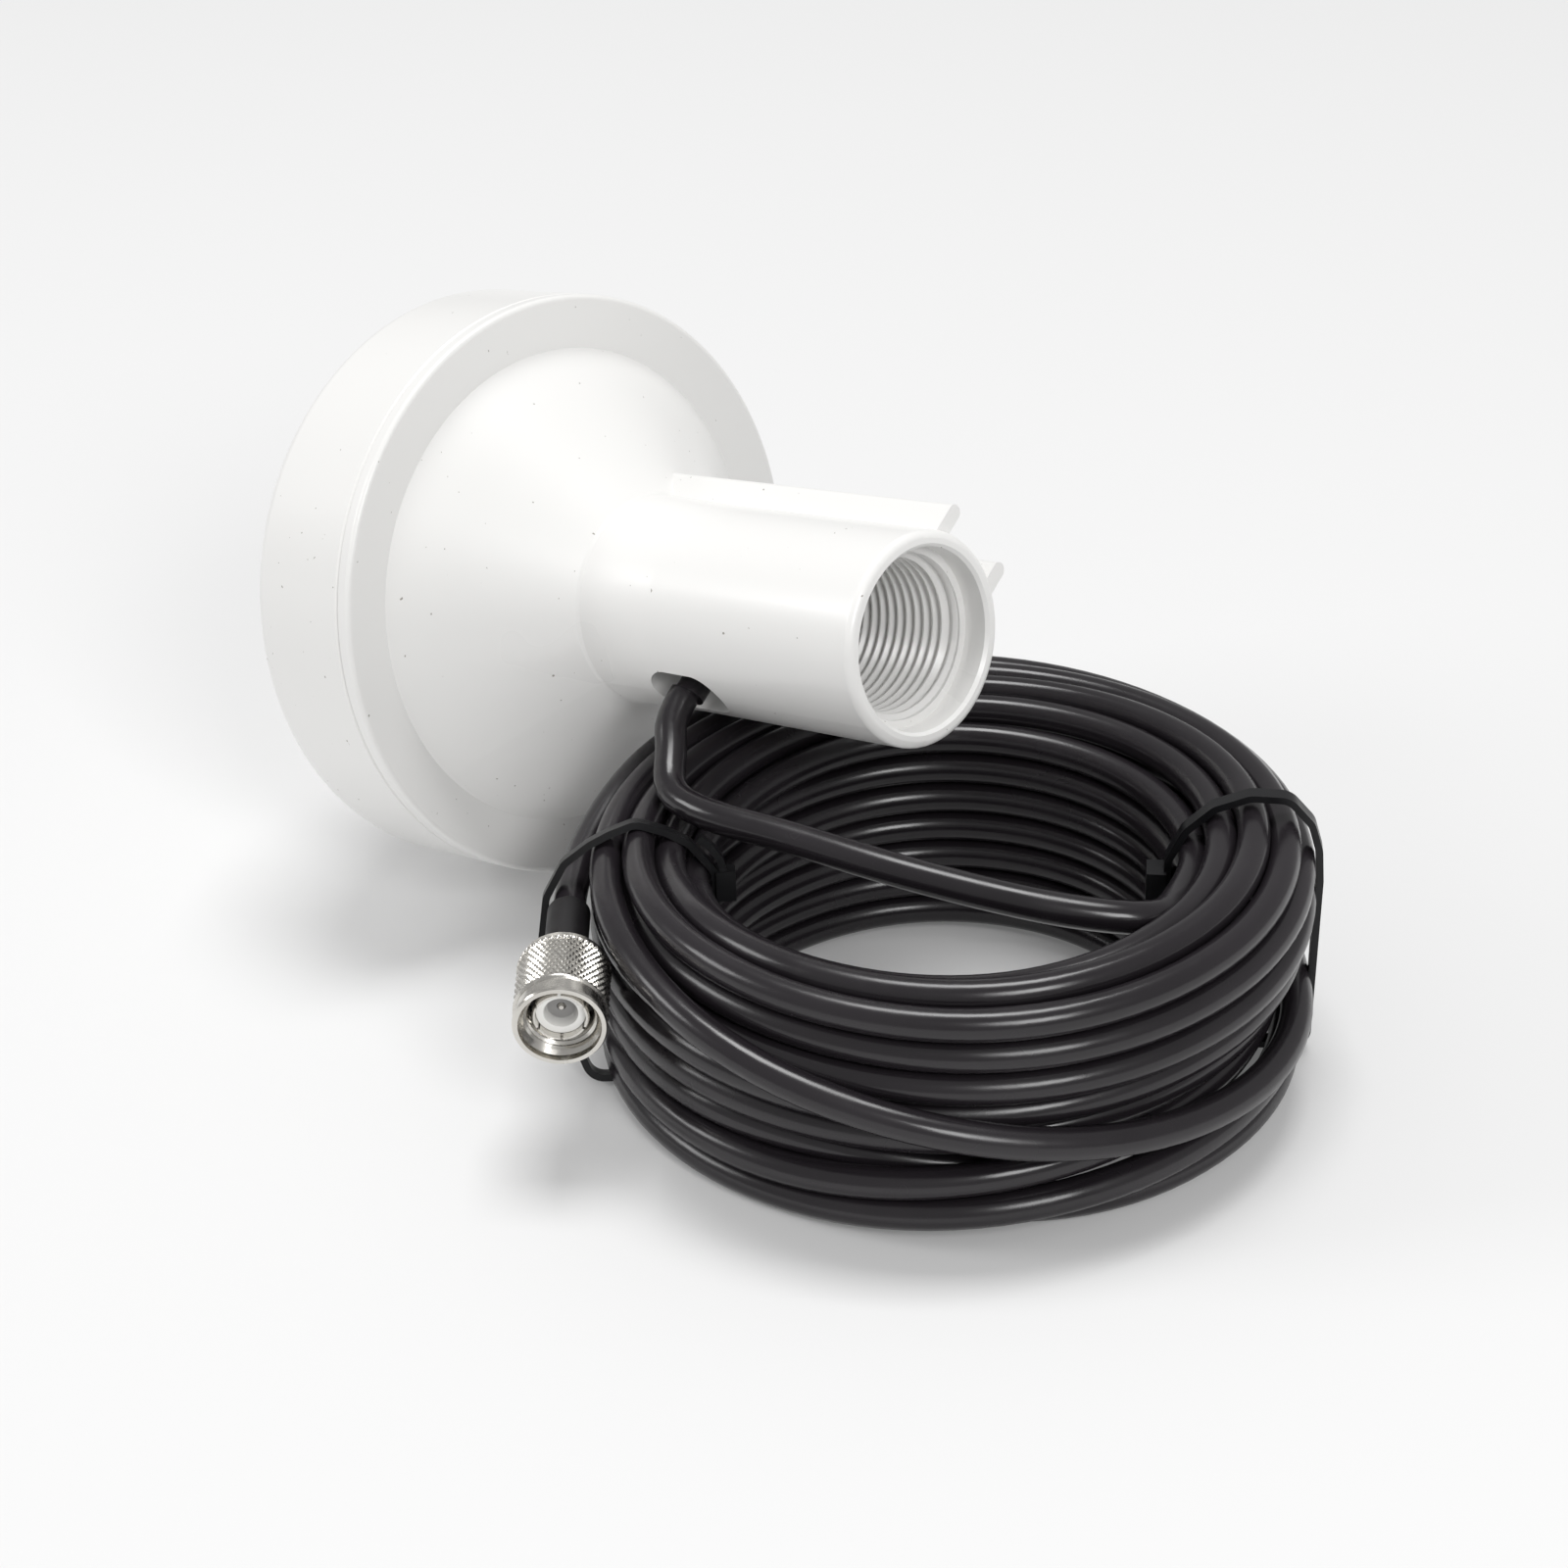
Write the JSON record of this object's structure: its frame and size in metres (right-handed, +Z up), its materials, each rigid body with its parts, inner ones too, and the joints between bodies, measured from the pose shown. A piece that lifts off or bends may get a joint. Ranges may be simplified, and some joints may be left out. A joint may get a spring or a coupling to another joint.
{
  "type": "gps antenna",
  "caption": "White mushroom-shaped marine antenna on a threaded stem with a cable slot and ribs, lying with its tied coil of black coaxial cable and knurled plug.",
  "frame": {"origin": "on the surface that the antenna lies on, under the middle of the antenna without its cable", "axes": "+X from the dome of the head to the open mouth of the stem, along the antenna; +Y to the antenna's left; +Z up"},
  "size_m": [0.1779, 0.125, 0.0984],
  "materials": {
    "housing_white": "glossy",
    "rubber_black": "matte",
    "board_green": "satin",
    "screw_steel": "satin",
    "patch_ceramic": "matte",
    "silver_film": "satin",
    "tinned_brass": "satin",
    "tinned_steel": "satin",
    "chip_black": "matte",
    "chip_grey": "matte",
    "cable_black": "glossy",
    "core_copper": "satin",
    "insulation_white": "satin",
    "tie_black": "satin",
    "nickel": "polished",
    "ptfe_white": "satin",
    "pin_gold": "polished",
    "ring_steel": "satin",
    "silicone_grey": "matte",
    "boot_black": "satin"
  },
  "bodies": {
    "antenna": {"radome": "housing_white", "base_housing": "housing_white", "seal_ring": "rubber_black", "circuit_board": "board_green", "board_screws": "screw_steel", "ceramic_patch": "patch_ceramic", "patch_electrode": "silver_film", "feed_pin": "tinned_brass", "shield_can": "tinned_steel", "amplifier_chip": "chip_black", "filter_block": "chip_grey", "coax_inner": "cable_black", "coax_core": "core_copper", "coax_insulation": "insulation_white", "braid_collar": "tinned_brass", "cable_grommet": "rubber_black", "cable_lead": "cable_black", "cable_coil": "cable_black", "cable_tail": "cable_black", "tie_left": "tie_black", "tie_right": "tie_black", "connector_body": "nickel", "outer_contact": "nickel", "insulator": "ptfe_white", "centre_pin": "pin_gold", "retaining_ring": "ring_steel", "gasket": "silicone_grey", "crimp_ferrule": "nickel", "boot": "boot_black"},
    "nut": {"coupling_nut": "nickel"}
  },
  "joints": [
    {"name": "nut_spin", "type": "hinge", "parent": "antenna", "child": "nut", "pos_m": [0.0461, -0.0663, 0.0266], "axis": [0.6911, -0.7203, -0.0599], "continuous": true}
  ]
}
